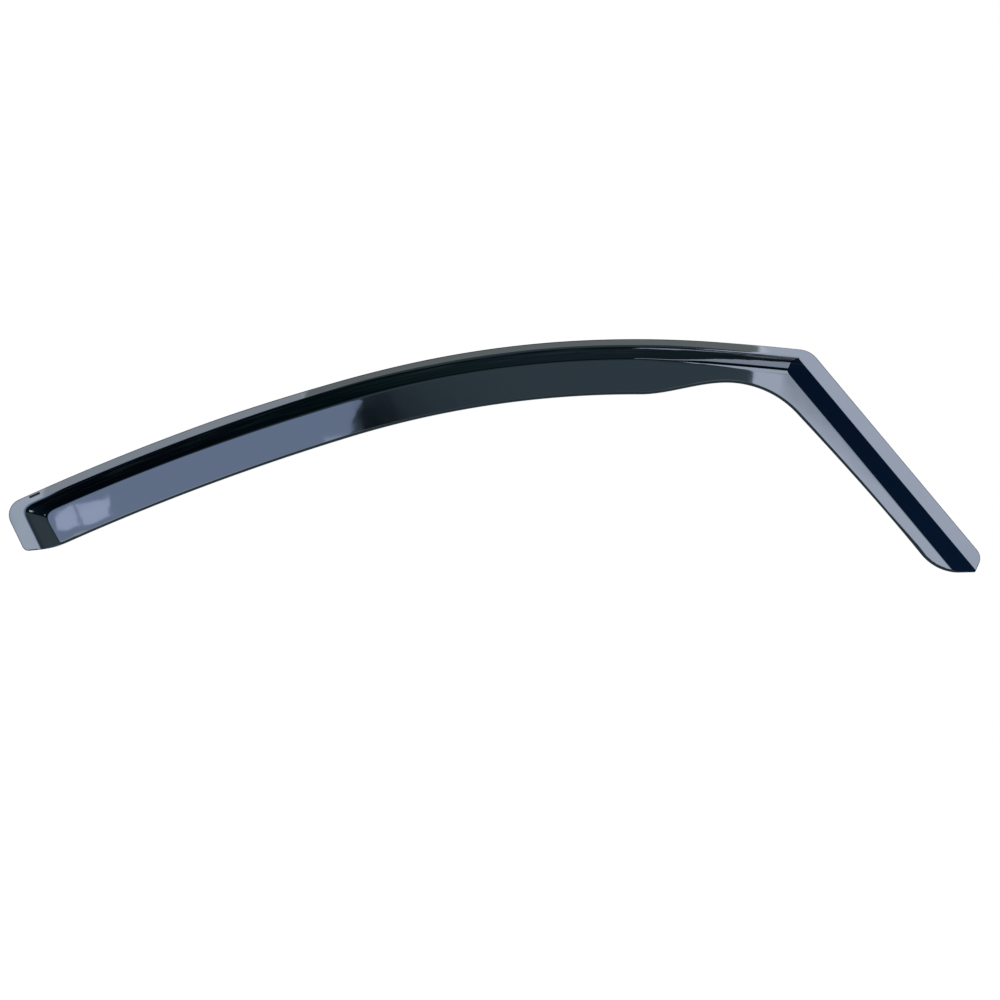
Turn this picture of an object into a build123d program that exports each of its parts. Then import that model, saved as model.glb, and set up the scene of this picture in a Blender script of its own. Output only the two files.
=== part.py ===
"""Window rain deflector for a front door: one sheet of smoked acrylic, formed and trimmed.

Frame: +X to the front of the car, +Z up, the outer face to -Y.  The origin is on the back of
the flange, at the front corner that goes into the window channel first.  Sizes in mm.
"""
import os
from math import atan2, cos, degrees, radians, sin, tan

from build123d import *

# the sheet
sheet = 3.0
bend_inside = 3.0
brow_radius = 5.0
lip_radius = 1.3

# the window line, where the step leaves the flange: from the front corner it runs back
# along the roof as three arcs
corner_x = -6.0
corner_z = -2.0
roof_lead = 5.9
front_radius = 3300.0
front_run = 80.0
crown_radius = 970.0
crown_run = 360.0
rear_radius = 2370.0
rear_run = 321.0
pillar_lean = 50.1
end_lean = 26.0

# the step and the face of the visor
step_rise = 12.0
roof_step = 15.4
pillar_step = 18.0
end_step = 19.5
face_tilt = 3.0
rear_mitre = 20.0

# the flat that takes the brow off towards the front corner and fades out along the roof
corner_flat_slope = 20.0
corner_flat_depth = 0.94

# the trimmed outline: widths across from the window line, and runs along it
flange_front = 6.0
flange_crown = 5.1
flange_rear = 7.2
flange_pillar = 13.3
flange_end = 14.8
front_corner = 24.0
rear_corner = 16.0
end_length = 39.2
end_corner = 6.0
tail_slope = 4.5
tail_reach = 30.0
visor_depth = 48.7
cutaway_start = 150.0
cutaway_crest = 57.5
cutaway_depth = 32.5
inner_corner = 88.0
inner_ease = 3.0
pillar_depth = 32.3
pillar_length = 266.7
tip_radius = 46.0
tip_inset = 1.7
tip_rake = 65.5
tip_corner = 2.0
tip_round = 9.0

# the slot in the flange for the channel clip
slot_length = 11.0
slot_width = 2.0
slot_web = 0.8
slot_from_end = 17.0
slot_from_line = 4.7

# how far the forming blocks run on behind, above and past the sheet
back = 8.0
reach = 70.0

# the most of the sheet that the eased outer edge may take
LIP_SHARE = 0.45


def heading(angle):
    """Along the roof to the rear, and across it to the outside, for a slope in radians."""
    return Vector(-cos(angle), -sin(angle)), Vector(-sin(angle), cos(angle))


def window_arcs():
    """The three roof arcs as (first slope, centre, radius, length)."""
    arcs = []
    point = Vector(corner_x, corner_z)
    slope = -radians(roof_lead)
    for radius, length in (
        (front_radius, front_run),
        (crown_radius, crown_run),
        (rear_radius, rear_run),
    ):
        centre = point - heading(slope)[1] * radius
        arcs.append((slope, centre, radius, length))
        slope += length / radius
        point = centre + heading(slope)[1] * radius
    return arcs


ROOF = window_arcs()
ROOF_LENGTH = front_run + crown_run + rear_run
INWARD = pillar_length + visor_depth
SPAN = ROOF_LENGTH + pillar_length


def on_roof(run, out=0.0):
    """A point `run` behind the front corner and `out` outside the window line, with the slope."""
    for number, (slope, centre, radius, length) in enumerate(ROOF):
        if run <= length or number == len(ROOF) - 1:
            angle = slope + run / radius
            return centre + heading(angle)[1] * (radius + out), angle
        run -= length


DOWN = Vector(cos(radians(pillar_lean)), -sin(radians(pillar_lean)))
FORE = Vector(sin(radians(pillar_lean)), cos(radians(pillar_lean)))


def on_pillar(run, out=0.0):
    """A point `run` down the pillar from the front corner and `out` outside the window line."""
    return Vector(corner_x, corner_z) + DOWN * run + FORE * out


END = on_roof(ROOF_LENGTH)[0]
FALL = Vector(sin(radians(end_lean)), -cos(radians(end_lean)))
AFT = Vector(-cos(radians(end_lean)), -sin(radians(end_lean)))


def on_end(run, out=0.0):
    """A point `run` down the rear end from its corner and `out` outside the window line."""
    return END + FALL * run + AFT * out


def step_slope(run):
    """The slope of a step in radians."""
    return atan2(step_rise, run)


def foot_point(run, under):
    """Where step and flange would meet, `under` below the outer skin, as (out, height)."""
    return Vector(-under * tan(step_slope(run) / 2), sheet - under)


def brow_point(run, under):
    """Where step and face would meet, `under` below the outer skin."""
    slope, tilt = step_slope(run), radians(face_tilt)
    shift = Vector(sin(slope) + sin(tilt), cos(slope) + cos(tilt)) / (1 + cos(slope - tilt))
    return Vector(-run, sheet + step_rise) - shift * under


def step_profile(run, under, far):
    """What lies behind the step, as (out, height) points."""
    slope = step_slope(run)
    foot = foot_point(run, under)
    along = Vector(-cos(slope), sin(slope))
    low = foot - along * ((foot.Y + back) / sin(slope))
    high = foot + along * ((reach - foot.Y) / sin(slope))
    return [low, high, Vector(-far, reach), Vector(-far, -back)]


def face_profile(run, under, far):
    """What lies behind the visor's face."""
    tilt = radians(face_tilt)
    along = Vector(-cos(tilt), sin(tilt))
    near = brow_point(run, under) - along * reach
    deep = brow_point(run, under) + along * far
    return [near, deep, Vector(deep.X, -back), Vector(near.X, -back)]


def roof_turned(profile):
    """A profile turned along the three roof arcs, past both ends."""
    block = None
    for number, (slope, centre, radius, length) in enumerate(ROOF):
        before = pillar_length if number == 0 else 0.0
        after = reach if number == len(ROOF) - 1 else 0.0
        first = slope - before / radius
        last = slope + (length + after) / radius
        out = heading(first)[1]
        place = Plane(
            origin=(centre.X, 0, centre.Y),
            x_dir=(out.X, 0, out.Y),
            z_dir=(out.Y, 0, -out.X),
        )
        wedge = revolve(
            place * make_face(Polyline(*[(radius + p.X, p.Y) for p in profile], close=True)),
            Axis((centre.X, 0, centre.Y), (0, -1, 0)),
            revolution_arc=degrees(last - first),
        )
        block = wedge if block is None else block + wedge
    return block


def straight_drawn(section, start, along, outward):
    """A section drawn along a straight stretch, well past both ends."""
    begin = start - along * SPAN
    place = Plane(
        origin=(begin.X, 0, begin.Y),
        x_dir=(outward.X, 0, outward.Y),
        z_dir=(along.X, 0, along.Y),
    )
    return extrude(place * section, 2 * SPAN)


def at(point, height):
    """A plan point lifted off the back of the flange."""
    return Vector(point.X, -height, point.Y)


def corner_flat(under):
    """What the flat takes off the brow: all above a plane along the roof at the front corner."""
    along, out = heading(-radians(roof_lead))
    slope = radians(corner_flat_slope)
    normal = at(out * sin(slope), cos(slope))
    brow = brow_point(roof_step, 0.0)
    base = at(on_roof(0, brow.X)[0], brow.Y) - normal * (corner_flat_depth + under)
    place = Plane(origin=base, x_dir=at(along, 0.0), z_dir=normal)
    return extrude(place * Rectangle(2 * SPAN, 2 * INWARD), reach)


def roof_block(under):
    """All that lies behind the skin of the roof run and its rear end."""
    steps = roof_turned(step_profile(roof_step, under, INWARD))
    points = [(p.X, p.Y) for p in step_profile(end_step, under, SPAN)]
    section = make_face(Polyline(*points, close=True))
    steps &= straight_drawn(section, END, FALL * -1, AFT)
    plain = (GeomType.LINE, GeomType.CIRCLE)
    corner = steps.edges().filter_by(lambda e: e.geom_type not in plain)
    steps = fillet(corner.sort_by_distance(at(END, sheet))[0], rear_mitre - under)
    block = steps & roof_turned(face_profile(roof_step, under, INWARD))
    middle = ROOF_LENGTH / 3
    brow = brow_point(roof_step, under)
    brow_edge = block.edges().sort_by_distance(at(on_roof(middle, brow.X)[0], brow.Y))[0]
    block = fillet(brow_edge, brow_radius - under) - corner_flat(under)
    block += extrude(Plane.XZ.offset(-back) * Rectangle(2 * SPAN, 2 * SPAN), back + sheet - under)
    foot = foot_point(roof_step, under)
    foot_edge = block.edges().sort_by_distance(at(on_roof(middle, foot.X)[0], foot.Y))[0]
    return fillet(foot_edge, bend_inside + under)


def pillar_block(under):
    """All that lies behind the skin of the pillar run."""
    foot = foot_point(pillar_step, under)
    brow = brow_point(pillar_step, under)
    deep = brow + Vector(-cos(radians(face_tilt)), sin(radians(face_tilt))) * SPAN
    points = [
        (SPAN, -back),
        (SPAN, foot.Y),
        (foot.X, foot.Y),
        (brow.X, brow.Y),
        (deep.X, deep.Y),
        (deep.X, -back),
    ]
    section = make_face(Polyline(*points, close=True))
    bend = section.vertices().sort_by_distance((foot.X, foot.Y))[0]
    section = fillet(bend, bend_inside + under)
    edge = section.vertices().sort_by_distance((brow.X, brow.Y))[0]
    section = fillet(edge, brow_radius - under)
    return straight_drawn(section, on_pillar(0), DOWN, FORE)


def formed_block(under):
    """All that lies behind the formed skin, `under` below its outer side."""
    return roof_block(under) & pillar_block(under)


def crossing(start, along, other, direction):
    """Where two plan lines meet."""
    gap = other - start
    turn = along.X * direction.Y - along.Y * direction.X
    return start + along * ((gap.X * direction.Y - gap.Y * direction.X) / turn)


def rounded(corner, arriving, leaving, radius):
    """The first, middle and last points of an arc that rounds a corner."""
    turn = radians(arriving.get_angle(leaving))
    first = corner - arriving * (radius * tan(turn / 2))
    last = corner + leaving * (radius * tan(turn / 2))
    inward = (leaving - arriving).normalized()
    middle = corner + inward * (radius / cos(turn / 2) - radius)
    return first, middle, last


def lower_edge(first, last):
    """The visor's lower edge along the roof, from run `first` forward to run `last`."""
    pieces = []
    ends = [0.0]
    for arc in ROOF:
        ends.append(ends[-1] + arc[3])
    for near, far in reversed(list(zip(ends, ends[1:]))):
        begin, finish = min(first, far), max(last, near)
        if begin > finish:
            runs = (begin, (begin + finish) / 2, finish)
            pieces.append(ThreePointArc(*[on_roof(run, -visor_depth)[0] for run in runs]))
    return pieces


def outline():
    """The trimmed outline in plan, clockwise from the rear end of the roof edge."""
    ahead = heading(-radians(roof_lead))[0] * -1
    behind = heading(on_roof(ROOF_LENGTH)[1])[0]
    tail = Vector(cos(radians(tail_slope)), sin(radians(tail_slope)))
    rake = Vector(cos(radians(tip_rake)), sin(radians(tip_rake)))
    level = Vector(1, 0)

    roof_front = on_roof(0, flange_front)[0]
    roof_rear = on_roof(ROOF_LENGTH, flange_rear)[0]
    pillar_edge = on_pillar(0, flange_pillar)
    end_edge = on_end(0, flange_end)
    end_foot = on_end(end_length, flange_end)
    tip = on_pillar(pillar_length, -tip_inset)

    front = rounded(crossing(roof_front, ahead, pillar_edge, DOWN), ahead, DOWN, front_corner)
    rear = rounded(crossing(roof_rear, behind, end_edge, FALL), behind, FALL, rear_corner)
    end = rounded(end_foot, FALL, tail, end_corner)
    tip_top = rounded(crossing(tip, rake, pillar_edge, DOWN), DOWN, rake * -1, tip_round)
    tip_end = rounded(tip, rake * -1, level * -1, tip_corner)
    inner = on_pillar(0, -pillar_depth)
    tip_in = rounded(crossing(inner, DOWN, tip, level), level * -1, DOWN * -1, tip_radius)

    crest, slope = on_roof(cutaway_crest, -cutaway_depth)
    forward, out = heading(slope)[0] * -1, heading(slope)[1]
    centre = crest - out * inner_corner
    last = pillar_lean - inner_ease
    swing = [centre + Vector(sin(a), cos(a)) * inner_corner
             for a in (radians((last - degrees(slope)) / 2), radians(last))]
    leave = Vector(cos(radians(last)), -sin(radians(last)))
    cut, cut_slope = on_roof(cutaway_start, -visor_depth)

    low_run = ROOF_LENGTH - tail_reach
    low, low_slope = on_roof(low_run, -visor_depth)

    quarters = ((3, flange_rear), (2, flange_crown), (1, flange_crown))
    top = [on_roof(ROOF_LENGTH * quarter / 4, width)[0] for quarter, width in quarters]
    return [
        Spline(rear[0], *top, front[0], tangents=[behind * -1, ahead]),
        ThreePointArc(*front),
        Line(front[2], tip_top[0]),
        ThreePointArc(*tip_top),
        Line(tip_top[2], tip_end[0]),
        ThreePointArc(*tip_end),
        Line(tip_end[2], tip_in[0]),
        ThreePointArc(*tip_in),
        Spline(tip_in[2], swing[1], tangents=[DOWN * -1, leave * -1]),
        ThreePointArc(swing[1], swing[0], crest),
        Spline(crest, cut, tangents=[forward * -1, heading(cut_slope)[0]]),
        *lower_edge(low_run, cutaway_start),
        Spline(end[2], low, tangents=[tail, heading(low_slope)[0] * -1]),
        ThreePointArc(*end),
        Line(end[0], rear[2]),
        ThreePointArc(*rear),
    ]


def clip_slot():
    """The round-ended slot along the flange's edge, sunk from the outer face down to a thin web."""
    spot, slope = on_roof(ROOF_LENGTH - slot_from_end, slot_from_line)
    turned = Plane.XZ.offset(slot_web) * Pos(spot.X, spot.Y) * Rot(0, 0, degrees(slope))
    return extrude(turned * SlotOverall(slot_length, slot_width), reach)


def deflector():
    """The formed sheet, trimmed to its outline, slotted and eased along its outer edge."""
    formed = formed_block(0.0) - formed_block(sheet)
    trim = extrude(Plane.XZ * make_face(outline()), reach, both=True)
    cut = formed & trim
    lip = on_roof(ROOF_LENGTH / 2, -visor_depth)[0]
    outer_edge = cut.edges().sort_by_distance(at(lip, reach))[0]
    return fillet(outer_edge, min(lip_radius, LIP_SHARE * sheet)) - clip_slot()


os.makedirs("parts", exist_ok=True)
export_step(deflector(), "parts/deflector.step")
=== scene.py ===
"""Looks of a window rain deflector: one sheet of smoked acrylic, formed, trimmed and polished.

The frame is the part's own: +X to the front of the car, +Z up, the outer face to -Y.  The sheet
is laid out flat as on a drawing, in plan (x, z) and millimetres, and marked with how far each
point lies inside the bends.  A node tree then forms it, in metres.
"""

from math import cos, pi, radians, sin, tan

import bpy
import numpy as np
from mathutils import Matrix, Vector


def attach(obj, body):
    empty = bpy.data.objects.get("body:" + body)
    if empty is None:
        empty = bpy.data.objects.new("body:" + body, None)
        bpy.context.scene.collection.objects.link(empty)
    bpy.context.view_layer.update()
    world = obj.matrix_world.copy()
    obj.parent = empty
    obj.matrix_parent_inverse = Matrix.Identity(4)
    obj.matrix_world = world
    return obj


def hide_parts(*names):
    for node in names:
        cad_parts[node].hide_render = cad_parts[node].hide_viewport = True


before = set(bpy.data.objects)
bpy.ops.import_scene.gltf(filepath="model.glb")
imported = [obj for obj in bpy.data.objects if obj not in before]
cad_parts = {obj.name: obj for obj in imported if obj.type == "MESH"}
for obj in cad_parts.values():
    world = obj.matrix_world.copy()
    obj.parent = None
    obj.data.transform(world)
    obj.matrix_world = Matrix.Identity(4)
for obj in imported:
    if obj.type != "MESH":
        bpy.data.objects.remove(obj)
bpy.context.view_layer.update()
MM = 0.001

# the sheet, its bends as half their widths in plan, and its eased edges
sheet = 3.0
foot_half = 3.0
crease_half = 0.6
brow_half = 1.4
corner_brow_half = 2.8
flat_half = 0.8
flange_lip = 0.5
visor_lip = 2.4

# the window line: three arcs along the roof, a straight pillar and a straight rear end
corner = Vector((-6.0, -2.0))
roof_lead = radians(5.9)
roof_radii = (3300.0, 970.0, 2370.0)
roof_runs = (80.0, 360.0, 321.0)
pillar_lean = radians(50.1)
end_lean = radians(26.0)

# the step and the face: from behind the crown to the rear end the foot is a tight crease and the
# brow lies lower, and towards the front corner the brow dips and the step tapers to leave a flat
step_rise = 12.0
roof_step = 14.5
rear_brow_drop = 0.8
crease_starts = -715.0
crease_ends = -700.0
crown_starts = -460.0
crown_ends = -350.0
brow_dip = 1.9
dip_starts = -155.0
dip_ends = -100.0
step_taper = 5.1
taper_starts = -125.0
taper_ends = -19.5
flat_slope = radians(35.0)
pillar_step = 18.0
end_step = 19.5
face_tilt = radians(3.0)
rear_mitre_drop = 2.2
front_mitre_blend = 0.3
crisp_angle = radians(32)

# on the back, the brow's bend is tighter and the foot's is wider, by these shares
back_brow_loss = 0.5
back_foot_gain = 0.4

# the trimmed outline
flange_widths = (6.0, 5.1, 5.1, 7.2, 7.2)
flange_pillar = 13.3
flange_end = 14.8
front_corner = 24.0
rear_corner = 16.0
bend_corner = 9.0
end_length = 39.2
end_corner = 6.0
tail_slope = radians(4.5)
tail_reach = 30.0
tail_split = 37.0
visor_depth = 48.7
visor_flare = 2.2
cutaway_start = 150.0
cutaway_crest = 57.5
cutaway_depth = 32.5
inner_corner = 91.0
inner_ease = radians(3.0)
pillar_depth = 32.6
pillar_flare = radians(0.84)
pillar_length = 266.7
tip_radius = 46.0
tip_inset = 1.7
tip_rake = radians(65.5)
tip_corner = 2.0
tip_round = 12.0

# the slot for the channel clip
slot_length = 11.0
slot_width = 2.0
slot_web = 0.8
slot_from_end = 17.0
slot_from_line = 4.7
slot_sides = 24

# points on the drawn lines: on a rounded corner, along the roof and on the longer curves
corner_points = 25
roof_points = 400
tail_points = 80
inner_points = 81
pillar_points = 120
tip_points = 60

# gaps between the columns of points along the sheet: at its trimmed ends, at its two corners, and at
# the widest on the rear end, the roof and the pillar
trim_column = 0.12
rear_column = 0.8
front_column = 0.4
end_widest = 2.0
roof_widest = 4.0
pillar_widest = 3.5

# the skin: slow waves all over, streaks along the step where their noise passes from the first
# share to the second, as a slight bump and a pale painted highlight, and how rough each surface is
acrylic_ior = 1.49
noise_detail = 2.0
wave_length = 40.0
wave_height = 0.09
streak_length = 60.0
streak_width = 1.3
streak_height = 0.03
streak_shares = (0.45, 0.75)
deep_tone = (0.0006, 0.0018, 0.0030, 1)
streak_highlight_tone = (0.011, 0.0145, 0.016, 1)
cut_margin = 0.4
cut_roughness = 0.3
sheet_roughness = 0.03
slot_roughness = 0.6

# the floor under the part: its own tone, how far it is veiled in white for the camera, and its tone
# in reflections
floor_level = -0.62
floor_reach = 15.0
floor_tone = (0.80, 0.81, 0.82, 1)
floor_veil = 0.9
floor_white = 1.1
floor_mirrored = (0.46, 0.66, 0.78, 1)

# the photograph's view: straight at the outer face
camera_place = Vector((-0.2869, -1.6, -0.139175))
camera_sensor = 36.0
camera_lens = 60.63


def turned(angle):
    """A plan direction, from +X towards +Z."""
    return Vector((cos(angle), sin(angle)))


def heading(slope):
    """Along the roof to the rear, and across it to the outside."""
    return -turned(slope), Vector((-sin(slope), cos(slope)))


def roof_arcs():
    """The three arcs of the window line as (first slope, centre, radius, length)."""
    arcs = []
    point, slope = corner, -roof_lead
    for radius, length in zip(roof_radii, roof_runs):
        centre = point - heading(slope)[1] * radius
        arcs.append((slope, centre, radius, length))
        slope += length / radius
        point = centre + heading(slope)[1] * radius
    return arcs


ROOF = roof_arcs()
ROOF_LENGTH = sum(roof_runs)

# plan directions: down the pillar, down its free edge, ahead of it, down the rear end, behind that
DOWN = turned(-pillar_lean)
FREE_DOWN = turned(-pillar_lean - pillar_flare)
FORE = Vector((sin(pillar_lean), cos(pillar_lean)))
FALL = Vector((sin(end_lean), -cos(end_lean)))
AFT = -turned(end_lean)


def on_roof(run, out=0.0):
    """A point `run` behind the front corner and `out` outside the window line, with the slope."""
    for slope, centre, radius, length in ROOF:
        if run <= length:
            break
        run -= length
    else:
        run += length
    angle = slope + run / radius
    return centre + heading(angle)[1] * (radius + out), angle


# the rear corner of the window line
END = on_roof(ROOF_LENGTH)[0]


def on_pillar(run, out=0.0):
    """A point `run` down the pillar from the front corner."""
    return corner + DOWN * run + FORE * out


def on_end(run, out=0.0):
    """A point `run` down the rear end from its corner."""
    return END + FALL * run + AFT * out


def inside_roof(point):
    """How far a point lies inside the roof's window line."""
    centre, radius = ROOF[0][1:3]
    for slope, next_centre, next_radius, _ in ROOF[1:]:
        joint = next_centre + heading(slope)[1] * next_radius
        if (point - joint).dot(heading(slope)[0]) > 0:
            centre, radius = next_centre, next_radius
    return radius - (point - centre).length


def inside_pillar(point):
    """How far a point lies inside the pillar's window line."""
    return -(point - corner).dot(FORE)


def inside_end(point):
    """How far a point lies inside the rear end's window line."""
    return -(point - END).dot(AFT)


def past_end_brow(point):
    """How far a point lies inside the brow of the rear end, where its step meets the face."""
    climb = (inside_roof(point) - roof_step - rear_brow_drop) * tan(face_tilt) / step_rise
    return inside_end(point) - end_step * (1 + climb)


def crossing(start, along, other, direction):
    """Where two plan lines meet."""
    return start + along * ((other - start).cross(direction) / along.cross(direction))


def rounded(point, arriving, leaving, radius, count=corner_points):
    """Points on the arc that rounds a corner."""
    turn = arriving.angle_signed(leaving)
    first = point - arriving * (radius * tan(abs(turn) / 2))
    side = 1 if turn > 0 else -1
    centre = first - Vector((-arriving.y, arriving.x)) * (radius * side)
    spoke = first - centre
    return [centre + Matrix.Rotation(-turn * k / (count - 1), 2) @ spoke for k in range(count)]


def curved(start, start_way, finish, finish_way, count):
    """Points on a smooth curve that leaves and arrives in the given directions."""
    chord = (finish - start).length
    points = []
    for k in range(count):
        t = k / (count - 1)
        lead = start * (1 + 2 * t) + start_way * (chord * t)
        close = finish * (3 - 2 * t) - finish_way * (chord * (1 - t))
        points.append(lead * (1 - t) ** 2 + close * t ** 2)
    return points


def solved(measure, low, high, halvings=60):
    """The place between two limits where a rising or falling measure is zero."""
    rising = measure(high) > 0
    for _ in range(halvings):
        middle = (low + high) / 2
        if (measure(middle) > 0) == rising:
            high = middle
        else:
            low = middle
    return (low + high) / 2


def parted(path, measure):
    """A path split in two where a measure of its points passes zero."""
    for k in range(len(path) - 1):
        here, there = measure(path[k]), measure(path[k + 1])
        if here <= 0 < there:
            point = path[k].lerp(path[k + 1], -here / (there - here))
            return path[:k + 1] + [point], [point] + path[k + 1:]
    raise ValueError("the path does not cross")


def growing(first, growth, count):
    """Distances from an edge whose steps grow from `first`."""
    return list(np.cumsum(first * growth ** np.arange(count)))


def shares(length, near, far, widest, growth=1.25):
    """Shares of a length whose steps grow from `near` at one end and from `far` at the other."""
    head, tail = [0.0], [length]
    while tail[-1] - head[-1] > near + far:
        if near <= far:
            head.append(head[-1] + near)
            near = min(near * growth, widest)
        else:
            tail.append(tail[-1] - far)
            far = min(far * growth, widest)
    return np.array(head + tail[::-1]) / length


def placed(path, at):
    """Points at the given shares of a path's length."""
    points = np.array(path)
    steps = np.linalg.norm(np.diff(points, axis=0), axis=1)
    gone = np.concatenate(([0.0], np.cumsum(steps)))
    return np.stack([np.interp(at * gone[-1], gone, points[:, k]) for k in (0, 1)], axis=1)


def roof_path(first, last, out):
    """Points along the roof, `out` outside the window line at each run."""
    return [on_roof(run, out(run))[0] for run in np.linspace(first, last, roof_points)]


def flange_width(run):
    """The roof flange's width, eased between its values at each quarter of the roof."""
    quarter = min(max(run / ROOF_LENGTH, 0.0), 1.0) * (len(flange_widths) - 1)
    number = min(int(quarter), len(flange_widths) - 2)
    here, there = flange_widths[number:number + 2]
    ease = quarter - number
    return here + (there - here) * (ease * ease * (3 - 2 * ease))


def share_done(x, starts, ends):
    """The share of a change along X that is done at a place."""
    return min(max((x - starts) / (ends - starts), 0.0), 1.0)


def brow_inside(run):
    """How far the brow lies inside the window line."""
    x = on_roof(run, -roof_step)[0].x
    rear = 1 - share_done(x, crown_starts, crown_ends)
    return roof_step + rear_brow_drop * rear + brow_dip * share_done(x, dip_starts, dip_ends)


def free_edge_out(run):
    """The visor's free edge, inside the window line by its depth, which grows to the rear."""
    return -visor_depth - visor_flare * (run / ROOF_LENGTH - 0.5)


def halves(path):
    """A path as two stretches that share its middle point."""
    middle = len(path) // 2
    return path[:middle + 1], path[middle:]


def outer_rail():
    """The flange's outer edge in three stretches: rear end, roof and pillar."""
    ahead = -heading(-roof_lead)[0]
    behind = heading(on_roof(ROOF_LENGTH)[1])[0]
    rake = turned(tip_rake)
    roof_front = on_roof(0, flange_widths[0])[0]
    roof_rear = on_roof(ROOF_LENGTH, flange_widths[-1])[0]
    pillar_edge = on_pillar(0, flange_pillar)
    end_edge = on_end(0, flange_end)
    tip = on_pillar(pillar_length, -tip_inset)
    foot = rounded(on_end(end_length, flange_end), FALL, turned(tail_slope), end_corner)
    rear = rounded(crossing(roof_rear, behind, end_edge, FALL), behind, FALL, rear_corner)
    front = rounded(crossing(roof_front, ahead, pillar_edge, DOWN), ahead, DOWN, front_corner)
    top = rounded(crossing(tip, rake, pillar_edge, DOWN), DOWN, -rake, tip_round)
    rear_run = ROOF_LENGTH + (rear[0] - roof_rear).dot(behind)
    front_run = -(front[0] - roof_front).dot(ahead)
    rear_near, rear_far = halves(rear[::-1])
    front_near, front_far = halves(front)
    return (
        foot[::-1] + rear_near,
        rear_far + roof_path(rear_run, front_run, flange_width) + front_near,
        front_far + top,
    )


def tip_path(start):
    """The trimmed end of the pillar, from the flange's edge to the visor's."""
    level = Vector((1, 0))
    tip = on_pillar(pillar_length, -tip_inset)
    inner = crossing(on_pillar(pillar_length, -pillar_depth), FREE_DOWN, tip, level)
    point = rounded(tip, -turned(tip_rake), -level, tip_corner)
    return [start] + point + rounded(inner, -level, -FREE_DOWN, tip_radius, tip_points)


def lower_path(start):
    """The visor's free edge from the foot of the rear end to the front of the cutaway's crest."""
    tail_run = ROOF_LENGTH - tail_reach
    low, slope = on_roof(tail_run, free_edge_out(tail_run))
    tail = curved(start, turned(tail_slope), low, -heading(slope)[0], tail_points)
    cut, cut_slope = on_roof(cutaway_start, free_edge_out(cutaway_start))
    crest, crest_slope = on_roof(cutaway_crest, -cutaway_depth)
    rise = curved(cut, -heading(cut_slope)[0], crest, -heading(crest_slope)[0], tail_points)
    return tail + roof_path(tail_run, cutaway_start, free_edge_out) + rise


def inner_paths(finish):
    """The visor's edge round the inner corner and down the pillar, as two stretches."""
    crest, slope = on_roof(cutaway_crest, -cutaway_depth)
    centre = crest - heading(slope)[1] * inner_corner
    last = pillar_lean - inner_ease
    angles = np.linspace(-slope, last, inner_points)
    swing = [centre + Vector((sin(angle), cos(angle))) * inner_corner for angle in angles]
    near, far = halves(swing)
    return near, far + curved(swing[-1], turned(-last), finish, FREE_DOWN, pillar_points)


def bend_rail(roof_in, pillar_in, past_end, tail_point, tip_point):
    """A bend line in three stretches, rounded at the rear corner and mitred at the front."""
    rear_run = solved(lambda run: past_end(on_roof(run, -roof_in(run))[0]),
                      ROOF_LENGTH - visor_depth, ROOF_LENGTH + visor_depth)
    front_run = solved(lambda run: inside_pillar(on_roof(run, -roof_in(run))[0]) - pillar_in,
                       -visor_depth, visor_depth)
    rear_point, slope = on_roof(rear_run, -roof_in(rear_run))
    arriving = (rear_point - tail_point).normalized()
    near, far = halves(rounded(rear_point, arriving, -heading(slope)[0], bend_corner))
    start = rear_run - (far[-1] - rear_point).length
    roof = roof_path(start, front_run, lambda run: -roof_in(run))
    return [tail_point] + near, far + roof, [roof[-1], tip_point]


# rows of points across the sheet, close together at its edges and bends
RIM_ROWS = [0.1, 0.25, 0.45, 0.7, 1.0, 1.35, 1.75, 2.1, 2.3, 2.4, 2.55, 2.9, 3.6]
FLANGE_RIM_ROWS = growing(0.12, 1.35, 5)
FOOT_ROWS = growing(0.25, 1.3, 5)
STEP_FOOT_ROWS = growing(0.45, 1.08, 9)
BROW_ROWS = growing(0.25, 1.07, 17)


def rows_across(width, near, far, between):
    """Distances across a band, fixed at its two sides and even between them."""
    ends = [width - d for d in reversed(far)]
    even = np.linspace(near[-1], ends[0], between + 2)[1:-1]
    return [0.0] + near + list(even) + ends


# the flange, the step and the face: rows by the outer side, rows by the inner, and how many between
BANDS = (
    (FLANGE_RIM_ROWS, FOOT_ROWS, 1),
    (STEP_FOOT_ROWS, BROW_ROWS, 2),
    (BROW_ROWS, RIM_ROWS, 5),
)


def between_rails(points, paths=None):
    """Points across the sheet from rail to rail, straight or along the paths of a trimmed end."""
    line = []
    for number, band in enumerate(BANDS):
        start, finish = points[number], points[number + 1]
        width = np.linalg.norm(finish - start)
        across = np.array(rows_across(width, *band)) / width
        if paths is None:
            line.extend(start + (finish - start) * share for share in across)
        else:
            line.extend(placed(paths[number], across))
    return np.array(line + [points[-1]])


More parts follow.
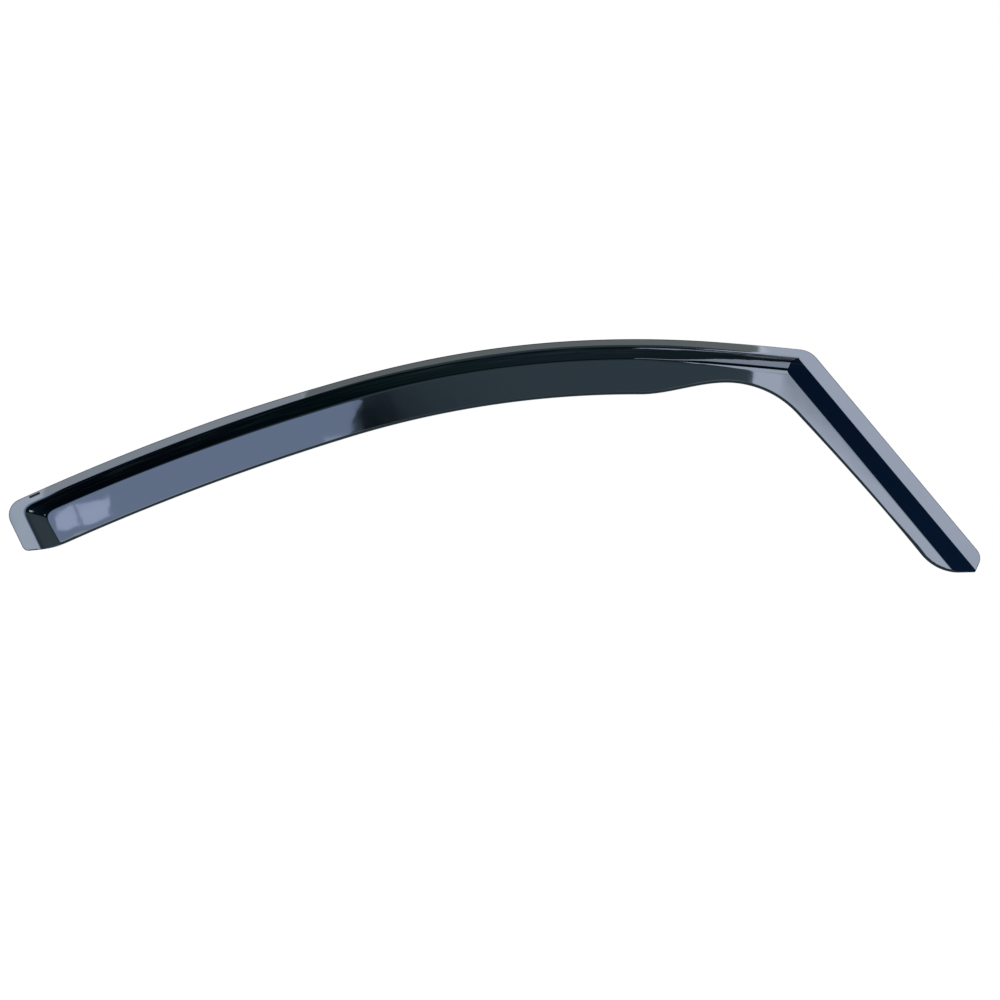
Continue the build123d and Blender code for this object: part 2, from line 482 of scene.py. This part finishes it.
def flat_sheet():
    """The sheet in plan: a grid of points that follows its edges and bends, and its outline."""
    outer = outer_rail()
    lower = lower_path(outer[0][0])
    tail, free = parted(lower, lambda p: inside_end(p) - tail_split)
    rear_reach = end_step + visor_depth - roof_step
    rear_edge, roof_edge = parted(free, lambda p: inside_end(p) - rear_reach)
    tip = tip_path(outer[2][-1])
    inner_near, inner_far = inner_paths(tip[-1])

    tail_flange, tail_rest = parted(tail, inside_end)
    tail_step, tail_face = parted(tail_rest, past_end_brow)
    tip_flange, tip_rest = parted(tip, inside_pillar)
    tip_step, tip_face = parted(tip_rest, lambda p: inside_pillar(p) - pillar_step)

    foot = bend_rail(lambda run: 0.0, 0.0, inside_end, tail_flange[-1], tip_flange[-1])
    brow = bend_rail(brow_inside, pillar_step, past_end_brow, tail_step[-1], tip_step[-1])
    edge = (rear_edge, roof_edge + inner_near, inner_far)

    spacings = (
        shares(end_length, trim_column, rear_column, end_widest),
        shares(ROOF_LENGTH, rear_column, front_column, roof_widest),
        shares(pillar_length, front_column, trim_column, pillar_widest),
    )
    columns = []
    for stretch, at in enumerate(spacings):
        rails = [placed(rail[stretch], at) for rail in (outer, foot, brow, edge)]
        lines = [between_rails([rail[k] for rail in rails]) for k in range(len(at))]
        columns.extend(lines if stretch == 0 else lines[1:])
    plan = np.array(columns)

    # the columns by each trimmed end are drawn onto its path, and those behind follow less and less
    from_tail = spacings[0] * end_length
    from_tip = (1 - spacings[2][::-1]) * pillar_length
    for column, paths, reach, gone in (
        (0, (tail_flange, tail_step, tail_face), end_length, from_tail),
        (-1, (tip_flange, tip_step, tip_face), visor_depth, from_tip),
    ):
        ends = [np.array(path[0]) for path in paths] + [np.array(paths[-1][-1])]
        shift = between_rails(ends, paths) - plan[column]
        for k, distance in enumerate(gone):
            fade = max(0.0, 1 - distance / reach) ** 2
            plan[k if column == 0 else -1 - k] += shift * fade

    edges = [*outer, tip, *[path[::-1] for path in reversed(edge)], tail[::-1]]
    return plan, np.array([point for path in edges for point in path])


def gap_to(outline, points):
    """The distance of each point from a closed outline."""
    spans = np.roll(outline, -1, axis=0) - outline
    # a repeated point spans nothing, so its square is kept off zero
    squares = np.maximum((spans ** 2).sum(axis=1), 1e-12)
    gaps = []
    for point in points:
        away = point - outline
        share = np.clip((away * spans).sum(axis=1) / squares, 0, 1)
        gaps.append(np.sqrt(((away - spans * share[:, None]) ** 2).sum(axis=1).min()))
    return np.array(gaps)


def marked_sheet(name):
    """The flat sheet as a closed mesh of two layers, marked with its distances in metres."""
    plan, outline = flat_sheet()
    columns, rows = plan.shape[:2]
    flat = plan.reshape(-1, 2)
    count = len(flat)
    number = np.arange(count).reshape(columns, rows)
    quads = np.stack([number[:-1, :-1], number[:-1, 1:], number[1:, 1:], number[1:, :-1]], axis=-1)
    quads = quads.reshape(-1, 4)
    ring = np.concatenate([number[0, :-1], number[:-1, -1], number[-1, :0:-1], number[:0:-1, 0]])
    after = np.roll(ring, -1)
    wall = np.stack([after, ring, ring + count, after + count], axis=-1)
    faces = np.concatenate([quads, quads[:, ::-1] + count, wall])

    mesh = bpy.data.meshes.new(name)
    places = np.zeros((2 * count, 3))
    places[:, 0::2] = np.concatenate([flat, flat]) * MM
    mesh.from_pydata(places.tolist(), [], faces.tolist())

    # the foot is the first row after the flange's band, and lengths along the sheet are taken there
    foot_row = len(rows_across(1.0, *BANDS[0]))
    steps = np.linalg.norm(np.diff(plan[:, foot_row], axis=0), axis=1)
    along = np.repeat(np.concatenate(([0.0], np.cumsum(steps))), rows)
    points = [Vector(p) for p in flat]
    marks = {
        "inside_roof": [inside_roof(p) for p in points],
        "inside_pillar": [inside_pillar(p) for p in points],
        "inside_end": [inside_end(p) for p in points],
        "edge_gap": gap_to(outline, flat),
        "along": along,
    }
    for mark, values in marks.items():
        layer = mesh.attributes.new(mark, "FLOAT", "POINT")
        layer.data.foreach_set("value", np.concatenate([values, values]) * MM)
    layer = mesh.attributes.new("back", "FLOAT", "POINT")
    layer.data.foreach_set("value", np.repeat([0.0, 1.0], count))
    return mesh


class Figure:
    """A number in a node tree: arithmetic on it adds the nodes that work it out."""

    def __init__(self, tree, socket):
        self.tree = tree
        self.socket = socket

    def by(self, operation, *others):
        """The result of a maths operation on this figure and others."""
        node = self.tree.nodes.new("ShaderNodeMath")
        node.operation = operation
        for place, value in zip(node.inputs, (self, *others)):
            if isinstance(value, Figure):
                self.tree.links.new(value.socket, place)
            else:
                place.default_value = value
        return Figure(self.tree, node.outputs[0])

    def __add__(self, other):
        return self.by("ADD", other)

    def __sub__(self, other):
        return self.by("SUBTRACT", other)

    def __mul__(self, other):
        return self.by("MULTIPLY", other)

    def __truediv__(self, other):
        return self.by("DIVIDE", other)


# the blend of a smooth minimum is six times as much as it takes off where its two sides meet
blend_per_drop = 6

SIZES = {
    "Sheet": sheet * MM,
    "Step Rise": step_rise * MM,
    "Roof Step": roof_step * MM,
    "Pillar Step": pillar_step * MM,
    "End Step": end_step * MM,
    "Face Grade": tan(face_tilt),
    "Foot Half Width": foot_half * MM,
    "Crease Half Width": crease_half * MM,
    "Brow Half Width": brow_half * MM,
    "Corner Brow Half Width": corner_brow_half * MM,
    "Rear Brow Drop": rear_brow_drop * MM,
    "Crease Starts": crease_starts * MM,
    "Crease Ends": crease_ends * MM,
    "Crown Starts": crown_starts * MM,
    "Crown Ends": crown_ends * MM,
    "Brow Dip": brow_dip * MM,
    "Dip Starts": dip_starts * MM,
    "Dip Ends": dip_ends * MM,
    "Step Taper": step_taper * MM,
    "Taper Starts": taper_starts * MM,
    "Taper Ends": taper_ends * MM,
    "Flat Grade": tan(flat_slope),
    "Flat Half Width": flat_half * MM,
    "Rear Mitre Blend": blend_per_drop * rear_mitre_drop * MM,
    "Front Mitre Blend": front_mitre_blend * MM,
    "Flange Lip": flange_lip * MM,
    "Visor Lip": visor_lip * MM,
    "Slot Length": slot_length * MM,
    "Slot Width": slot_width * MM,
    "Slot Web": slot_web * MM,
}


def add_node(tree, kind, inputs=None, **settings):
    """A node with its settings, and its inputs as values, figures or sockets."""
    node = tree.nodes.new(kind)
    for name, value in settings.items():
        setattr(node, name, value)
    for name, value in (inputs or {}).items():
        if isinstance(value, Figure):
            tree.links.new(value.socket, node.inputs[name])
        elif isinstance(value, bpy.types.NodeSocket):
            tree.links.new(value, node.inputs[name])
        else:
            node.inputs[name].default_value = value
    return node


def formed_height(tree, size, run):
    """The height of the sheet's skin over the back of the flange, from the marks on the sheet."""
    def mark(name):
        node = add_node(tree, "GeometryNodeInputNamedAttribute", {"Name": name}, data_type="FLOAT")
        return Figure(tree, node.outputs["Attribute"])

    def slant(grade):
        return (grade * grade + 1.0).by("SQRT")

    def grade(width, foot):
        return size["Step Rise"] / (width - foot)

    def step(inside, width, foot):
        climb = (inside - foot) * grade(width, foot)
        return size["Sheet"] + climb - under * slant(grade(width, foot))

    def face(inside, width, tilt):
        top = size["Sheet"] + size["Step Rise"] - under * slant(tilt)
        return top + (inside - width) * tilt

    def along_roof(change):
        """The share of a change along the roof that is done at each point."""
        node = add_node(tree, "ShaderNodeMapRange", {
            "Value": run,
            "From Min": size[change + " Starts"],
            "From Max": size[change + " Ends"],
        })
        return Figure(tree, node.outputs[0])

    back = mark("back")
    under = back * size["Sheet"]
    rear = along_roof("Crown") * -1.0 + 1.0
    soft, tight = size["Foot Half Width"], size["Crease Half Width"]
    foot = soft + (tight - soft) * along_roof("Crease") * rear
    steepness = grade(size["Roof Step"], soft)
    tighter = back * -back_brow_loss + 1.0
    brow_blend = size["Brow Half Width"] * steepness * tighter
    widening = (size["Corner Brow Half Width"] - size["Brow Half Width"]) * along_roof("Dip")
    roof_brow_blend = (size["Brow Half Width"] + widening) * steepness * tighter
    flat_blend = size["Flat Half Width"] * steepness * tighter

    inside = mark("inside_roof")
    brow = size["Roof Step"] + size["Rear Brow Drop"] * rear + size["Brow Dip"] * along_roof("Dip")
    roof = step(inside, brow - size["Step Taper"] * along_roof("Taper"), foot)
    end = step(mark("inside_end"), size["End Step"], soft)
    roof = roof.by("SMOOTH_MIN", end, size["Rear Mitre Blend"])
    roof = roof.by("SMOOTH_MIN", face(inside, brow, size["Flat Grade"]), flat_blend)
    roof = roof.by("SMOOTH_MIN", face(inside, brow, size["Face Grade"]), roof_brow_blend)

    inside = mark("inside_pillar")
    pillar = step(inside, size["Pillar Step"], tight)
    pillar_face = face(inside, size["Pillar Step"], size["Face Grade"])
    pillar = pillar.by("SMOOTH_MIN", pillar_face, brow_blend)
    height = roof.by("SMOOTH_MIN", pillar, size["Front Mitre Blend"])
    past_mitre = (roof - pillar) / size["Front Mitre Blend"]
    on_pillar_side = past_mitre.by("MAXIMUM", 0.0).by("MINIMUM", 1.0)
    wider = back * back_foot_gain + 1.0
    foot_blend = (foot + (tight - foot) * on_pillar_side) * steepness * wider
    height = height.by("SMOOTH_MAX", size["Sheet"] - under, foot_blend)

    climb = ((height - size["Sheet"]) / size["Step Rise"]).by("MINIMUM", 1.0).by("MAXIMUM", 0.0)
    lip = size["Flange Lip"] + (size["Visor Lip"] - size["Flange Lip"]) * climb
    short = lip - mark("edge_gap").by("MINIMUM", lip)
    ease = lip - (lip * lip - short * short).by("MAXIMUM", 0.0).by("SQRT")
    return height - ease * (back * -1.0 + 1.0)


def slot_punch(tree, size):
    """A round-ended punch for the clip slot, set in the flange down to the slot's web, and marked."""
    radius = size["Slot Width"] * 0.5
    shift = (size["Slot Length"] - size["Slot Width"]) * 0.5
    pin = add_node(tree, "GeometryNodeMeshCylinder", {
        "Vertices": slot_sides,
        "Radius": radius,
        "Depth": size["Sheet"] * 2.0,
    })
    join = add_node(tree, "GeometryNodeJoinGeometry")
    for way in (1.0, -1.0):
        place = add_node(tree, "ShaderNodeCombineXYZ", {"X": shift * way})
        moved = add_node(tree, "GeometryNodeTransform",
                         {"Geometry": pin.outputs["Mesh"], "Translation": place.outputs[0]})
        tree.links.new(moved.outputs[0], join.inputs[0])
    hull = add_node(tree, "GeometryNodeConvexHull", {"Geometry": join.outputs[0]})
    spot, slope = on_roof(ROOF_LENGTH - slot_from_end, slot_from_line)
    place = add_node(tree, "ShaderNodeCombineXYZ", {
        "X": spot.x * MM,
        "Y": (size["Slot Web"] + size["Sheet"]) * -1.0,
        "Z": spot.y * MM,
    })
    set_in = add_node(tree, "GeometryNodeTransform", {
        "Geometry": hull.outputs[0],
        "Translation": place.outputs[0],
        "Rotation": (pi / 2, -slope, 0.0),
    })
    return add_node(tree, "GeometryNodeStoreNamedAttribute", {
        "Geometry": set_in.outputs[0],
        "Name": "milled",
        "Value": 1.0,
    }, data_type="FLOAT", domain="FACE")


def forming_tree():
    """The tree that forms the flat sheet, punches its slot and gives it its material."""
    tree = bpy.data.node_groups.new("form_sheet", "GeometryNodeTree")
    tree.interface.new_socket("Geometry", in_out="INPUT", socket_type="NodeSocketGeometry")
    for name in SIZES:
        tree.interface.new_socket(name, in_out="INPUT", socket_type="NodeSocketFloat")
    tree.interface.new_socket("Material", in_out="INPUT", socket_type="NodeSocketMaterial")
    tree.interface.new_socket("Geometry", in_out="OUTPUT", socket_type="NodeSocketGeometry")
    source = tree.nodes.new("NodeGroupInput")
    size = {name: Figure(tree, source.outputs[name]) for name in SIZES}

    place = add_node(tree, "ShaderNodeSeparateXYZ",
                     {"Vector": tree.nodes.new("GeometryNodeInputPosition").outputs[0]})
    raised = add_node(tree, "ShaderNodeCombineXYZ", {
        "X": place.outputs["X"],
        "Y": formed_height(tree, size, place.outputs["X"]) * -1.0,
        "Z": place.outputs["Z"],
    })
    formed = add_node(tree, "GeometryNodeSetPosition",
                      {"Geometry": source.outputs["Geometry"], "Position": raised.outputs[0]})
    punched = add_node(tree, "GeometryNodeMeshBoolean", {
        "Mesh 1": formed.outputs[0],
        "Mesh 2": slot_punch(tree, size).outputs[0],
    }, operation="DIFFERENCE", solver="EXACT")
    smooth = add_node(tree, "GeometryNodeSetShadeSmooth", {"Geometry": punched.outputs["Mesh"]})
    bend = Figure(tree, tree.nodes.new("GeometryNodeInputMeshEdgeAngle").outputs[0])
    crisp = add_node(tree, "GeometryNodeSetShadeSmooth", {
        "Geometry": smooth.outputs[0],
        "Selection": bend.by("GREATER_THAN", crisp_angle),
        "Shade Smooth": False,
    }, domain="EDGE")
    real = add_node(tree, "GeometryNodeRealizeInstances", {"Geometry": crisp.outputs[0]})
    dressed = add_node(tree, "GeometryNodeSetMaterial",
                       {"Geometry": real.outputs[0], "Material": source.outputs["Material"]})
    sink = tree.nodes.new("NodeGroupOutput")
    tree.links.new(dressed.outputs[0], sink.inputs[0])
    return tree


def formed_sheet(name, material):
    """The finished sheet: marked out flat, formed, and made a plain mesh."""
    sheet_object = bpy.data.objects.new(name, marked_sheet(name))
    bpy.context.scene.collection.objects.link(sheet_object)
    forming = sheet_object.modifiers.new("form", "NODES")
    forming.node_group = forming_tree()
    values = dict(SIZES, Material=material)
    for socket in forming.node_group.interface.items_tree:
        if socket.in_out == "INPUT" and socket.name in values:
            forming[socket.identifier] = values[socket.name]
    settled = sheet_object.modifiers.new("settle_normals", "WEIGHTED_NORMAL")
    settled.keep_sharp = True
    graph = bpy.context.evaluated_depsgraph_get()
    plain = bpy.data.meshes.new_from_object(sheet_object.evaluated_get(graph))
    sheet_object.modifiers.clear()
    sheet_object.data = plain
    return sheet_object


def span(tree, value, first, last, low=0.0, high=1.0):
    """A value's range moved onto another."""
    node = add_node(tree, "ShaderNodeMapRange", {
        "Value": value,
        "From Min": first,
        "From Max": last,
        "To Min": low,
        "To Max": high,
    })
    return Figure(tree, node.outputs[0])


def slow_waves(tree):
    """Slow waves over the whole skin, as heights in metres."""
    coords = add_node(tree, "ShaderNodeTexCoord")
    waves = add_node(tree, "ShaderNodeTexNoise", {
        "Vector": coords.outputs["Object"],
        "Scale": 1 / (wave_length * MM),
        "Detail": noise_detail,
    })
    return Figure(tree, waves.outputs["Fac"]) * (wave_height * MM)


def streaks_and_highlight(tree, marks):
    """Fine streaks along the step, strongest by its foot, from none to full: bumps and painted highlight.
    """
    across = add_node(tree, "ShaderNodeCombineXYZ", {
        "X": marks["along"] * (1 / (streak_length * MM)),
        "Y": marks["inside_roof"] * (1 / (streak_width * MM)),
    })
    streaks = add_node(tree, "ShaderNodeTexNoise", {
        "Vector": across.outputs[0],
        "Scale": 1.0,
        "Detail": noise_detail,
    }, noise_dimensions="2D")
    inner = marks["inside_roof"]
    for name in ("inside_end", "inside_pillar"):
        inner = inner.by("MINIMUM", marks[name])
    starts = span(tree, inner, crease_half * MM, foot_half * MM)
    stops = span(tree, marks["inside_roof"], foot_half * MM, roof_step * MM, 1.0, 0.0)
    return span(tree, streaks.outputs["Fac"], *streak_shares) * starts * stops


def smoked_acrylic():
    """Polished sheet, nearly black through its depth, with a matt slot and a dull cut edge."""
    material = bpy.data.materials.new("smoked_acrylic")
    material.use_nodes = True
    tree = material.node_tree
    shader = tree.nodes["Principled BSDF"]
    shader.inputs["IOR"].default_value = acrylic_ior
    marks = {}
    for name in ("milled", "edge_gap", "inside_roof", "inside_end", "inside_pillar", "along"):
        mark = add_node(tree, "ShaderNodeAttribute", attribute_name=name)
        marks[name] = Figure(tree, mark.outputs["Fac"])
    streaks = streaks_and_highlight(tree, marks)
    # the streaks are painted paler than the deep tone, a painted highlight along the step by its foot
    tone = add_node(tree, "ShaderNodeMix", {
        "Factor": streaks,
        "A": deep_tone,
        "B": streak_highlight_tone,
    }, data_type="RGBA")
    tree.links.new(tone.outputs["Result"], shader.inputs["Base Color"])
    cut = span(tree, marks["edge_gap"], 0.0, cut_margin * MM, cut_roughness, sheet_roughness)
    finish = cut.by("MAXIMUM", marks["milled"] * slot_roughness)
    tree.links.new(finish.socket, shader.inputs["Roughness"])
    height = slow_waves(tree) + streaks * (streak_height * MM)
    skin = add_node(tree, "ShaderNodeBump", {"Height": height, "Distance": 1.0})
    tree.links.new(skin.outputs[0], shader.inputs["Normal"])
    return material


def pale_floor(level, reach):
    """A pale matt floor far below the part, nearly white to the camera and cool in reflections."""
    corners = [(x * reach, y * reach, level) for x, y in ((-1, -1), (1, -1), (1, 1), (-1, 1))]
    mesh = bpy.data.meshes.new("studio_floor")
    mesh.from_pydata(corners, [], [(0, 1, 2, 3)])
    material = bpy.data.materials.new("pale_floor")
    material.use_nodes = True
    tree = material.node_tree
    tree.nodes.clear()
    matt = add_node(tree, "ShaderNodeBsdfDiffuse", {"Color": floor_tone})
    white = add_node(tree, "ShaderNodeEmission", {"Color": (1, 1, 1, 1), "Strength": floor_white})
    dim = add_node(tree, "ShaderNodeEmission", {"Color": floor_mirrored, "Strength": 1.0})
    path = add_node(tree, "ShaderNodeLightPath")
    through = Figure(tree, path.outputs["Is Transmission Ray"])
    veil = Figure(tree, path.outputs["Is Camera Ray"]).by("MAXIMUM", through)
    seen = add_node(tree, "ShaderNodeMixShader", {
        0: veil * floor_veil,
        1: matt.outputs[0],
        2: white.outputs[0],
    })
    mirrored = add_node(tree, "ShaderNodeMixShader", {
        0: path.outputs["Is Glossy Ray"],
        1: seen.outputs[0],
        2: dim.outputs[0],
    })
    add_node(tree, "ShaderNodeOutputMaterial", {"Surface": mirrored.outputs[0]})
    mesh.materials.append(material)
    floor = bpy.data.objects.new("studio_floor", mesh)
    bpy.context.scene.collection.objects.link(floor)
    return floor


def softbox(name, centre, size, roll, glow, ahead=0.0):
    """A lit panel of radiance `glow` facing the part, centred in the camera's plane or ahead of it."""
    data = bpy.data.lights.new(name, "AREA")
    data.shape = "RECTANGLE"
    data.size, data.size_y = size
    brightest = max(glow)
    data.color = [level / brightest for level in glow]
    data.energy = brightest * pi * size[0] * size[1]
    lamp = bpy.data.objects.new(name, data)
    lamp.location = (centre[0], camera_place.y + ahead, centre[1])
    lamp.rotation_euler = (pi / 2, -roll, 0)
    lamp.visible_camera = False
    bpy.context.scene.collection.objects.link(lamp)
    return lamp


def shade_corner(lamp, lean, band, levels):
    """Dim a softbox towards its upper right corner, across a slanting band, from level to level."""
    lamp.data.use_nodes = True
    tree = lamp.data.node_tree
    spot = add_node(tree, "ShaderNodeSeparateXYZ",
                    {"Vector": tree.nodes.new("ShaderNodeNewGeometry").outputs["Parametric"]})
    right = Figure(tree, spot.outputs["X"]) * (lamp.data.size * lean)
    raised = Figure(tree, spot.outputs["Y"]) * lamp.data.size_y + right
    level = span(tree, raised, *band, *levels)
    tree.links.new(level.socket, tree.nodes["Emission"].inputs["Strength"])


def studio_lamps():
    """Softboxes on both sides of the camera, a strip between, rear glows, and one above and one aside."""
    # each one's centre (x, z), size, roll, radiance, and how far it stands ahead of the camera's plane
    softbox("left_softbox", (-1.086, -0.0044), (0.75, 0.775), radians(-22), (2.33, 2.93, 4.8))
    softbox("left_low_softbox", (-0.91, -0.122), (0.60, 0.25), radians(18.9), (1.9, 1.65, 0.4), 0.02)
    softbox("rear_glow", (-1.163, -0.0265), (0.040, 0.034), radians(18), (3.65, 4.05, 5.35), 0.04)
    softbox("rear_side_glow", (-1.109, -0.0105), (0.062, 0.036), radians(18),
            (3.65, 4.05, 5.35), 0.04)
    softbox("end_glow", (-1.20, -0.18), (0.12, 0.16), 0.0, (2.5, 3.1, 4.1), 0.06)
    right = softbox("right_softbox", (0.53, 0.02), (0.65, 0.68), 0.0, (6.7, 7.45, 9.3))
    shade_corner(right, lean=0.9, band=(0.63, 0.683), levels=(1.06, 0.69))
    softbox("right_high_softbox", (0.425, 0.905), (0.42, 1.09), 0.0, (6.7, 7.6, 9.6))
    softbox("low_strip", (-0.2215, 0.115), (0.885, 0.13), radians(5.2), (1.97, 2.03, 1.87), 0.01)
    top = softbox("top_softbox", (0.365, 1.6), (0.77, 0.33), 0.0, (3.9, 4.4, 5.6), 1.15)
    top.rotation_euler = (0, 0, 0)
    side = softbox("side_softbox", (-1.834, 0.090), (0.080, 0.231), 0.0, (7.5, 7.8, 8.2), 1.1855)
    rear_end = Vector((*END, 0.0)).xzy * MM
    side.rotation_euler = (rear_end - side.location).to_track_quat("-Z", "Y").to_euler()


# what a reflection sees of the room, by height: 0 straight down, a half level, 1 straight up
ROOM_TONES = (
    (0.15, (0.25, 0.37, 0.45)),
    (0.29, (0.53, 0.78, 0.95)),
    (0.45, (0.62, 0.92, 1.15)),
    (0.60, (0.62, 0.92, 1.15)),
    (0.72, (0.45, 0.64, 0.78)),
    (0.82, (0.24, 0.36, 0.44)),
    (0.875, (0.01, 0.04, 0.03)),
    (0.965, (0.00, 0.03, 0.02)),
    (0.98, (0.03, 0.09, 0.08)),
    (1.0, (0.105, 0.19, 0.25)),
)

# how much of the wall shows across the dark stand right of the left softbox, from left to right, and
# where a reflection meets the stand: its sides, its foot and its head
STAND_TONES = (
    (0.0, 1.0),
    (0.04, 0.08),
    (0.13, 0.15),
    (0.24, 0.47),
    (0.49, 0.75),
    (0.79, 0.95),
    (1.0, 1.0),
)
stand_span = (-0.115, 0.03)
stand_foot = (0.105, 0.125)
stand_head = (0.145, 0.195)

# the room's dim sides, right, far right and left: where each begins and where it is full, and how
# little of each tone is left there
DIM_SIDES = (
    ((0.38, 0.50), (0.08, 0.19, 0.50, 1)),
    ((0.89, 0.96), (1.0, 0.55, 0.28, 1)),
    ((-0.38, -0.50), (0.03, 0.07, 0.12, 1)),
)

# the world's strength where it only lights, beside 1 where it is seen
world_fill = 0.35


def ramp(tree, factor, tones):
    """A colour ramp with the given places and tones."""
    node = add_node(tree, "ShaderNodeValToRGB", {"Fac": factor})
    stops = node.color_ramp.elements
    while len(stops) < len(tones):
        stops.new(0.5)
    for stop, (place, tone) in zip(stops, tones):
        stop.position = place
        stop.color = (*tone, 1) if isinstance(tone, tuple) else (tone, tone, tone, 1)
    return node.outputs["Color"]


def studio_world():
    """White to the camera; to reflections a cool wall, a dark stand, dim sides and a dark ceiling."""
    world = bpy.data.worlds.new("white_studio")
    bpy.context.scene.world = world
    world.use_nodes = True
    tree = world.node_tree
    tree.nodes.clear()
    coords = add_node(tree, "ShaderNodeTexCoord")
    way = add_node(tree, "ShaderNodeSeparateXYZ", {"Vector": coords.outputs["Generated"]})
    room = ramp(tree, span(tree, way.outputs["Z"], -1.0, 1.0), ROOM_TONES)
    stand = ramp(tree, span(tree, way.outputs["X"], *stand_span), STAND_TONES)
    above_foot = span(tree, way.outputs["Z"], *stand_foot)
    below_head = span(tree, way.outputs["Z"], *stand_head, 1.0, 0.0)
    shades = [(above_foot * below_head, stand)]
    shades += [(span(tree, way.outputs["X"], *side), tone) for side, tone in DIM_SIDES]
    for share, tone in shades:
        shaded = add_node(tree, "ShaderNodeMix", {
            "Factor": share,
            "A": room,
            "B": tone,
        }, data_type="RGBA", blend_type="MULTIPLY")
        room = shaded.outputs["Result"]
    path = add_node(tree, "ShaderNodeLightPath")
    seen = add_node(tree, "ShaderNodeMix", {
        "Factor": path.outputs["Is Glossy Ray"],
        "A": (1, 1, 1, 1),
        "B": room,
    }, data_type="RGBA")
    direct = Figure(tree, path.outputs["Is Camera Ray"])
    for kind in ("Is Glossy Ray", "Is Transmission Ray"):
        direct = direct.by("MAXIMUM", Figure(tree, path.outputs[kind]))
    background = add_node(tree, "ShaderNodeBackground", {
        "Color": seen.outputs["Result"],
        "Strength": span(tree, direct, 0.0, 1.0, world_fill, 1.0),
    })
    add_node(tree, "ShaderNodeOutputWorld", {"Surface": background.outputs[0]})


def photo_camera():
    """The photograph's camera, level and square to the outer face."""
    camera = bpy.data.objects.new("camera", bpy.data.cameras.new("camera"))
    camera.data.sensor_width = camera_sensor
    camera.data.lens = camera_lens
    camera.location = camera_place
    camera.rotation_euler = (radians(90), 0, 0)
    bpy.context.scene.collection.objects.link(camera)
    bpy.context.scene.camera = camera


visor = formed_sheet("formed_visor", smoked_acrylic())
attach(visor, "root")
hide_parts("deflector")
pale_floor(floor_level, floor_reach)

photo_camera()
studio_lamps()
studio_world()
bpy.context.scene.view_settings.view_transform = "Standard"
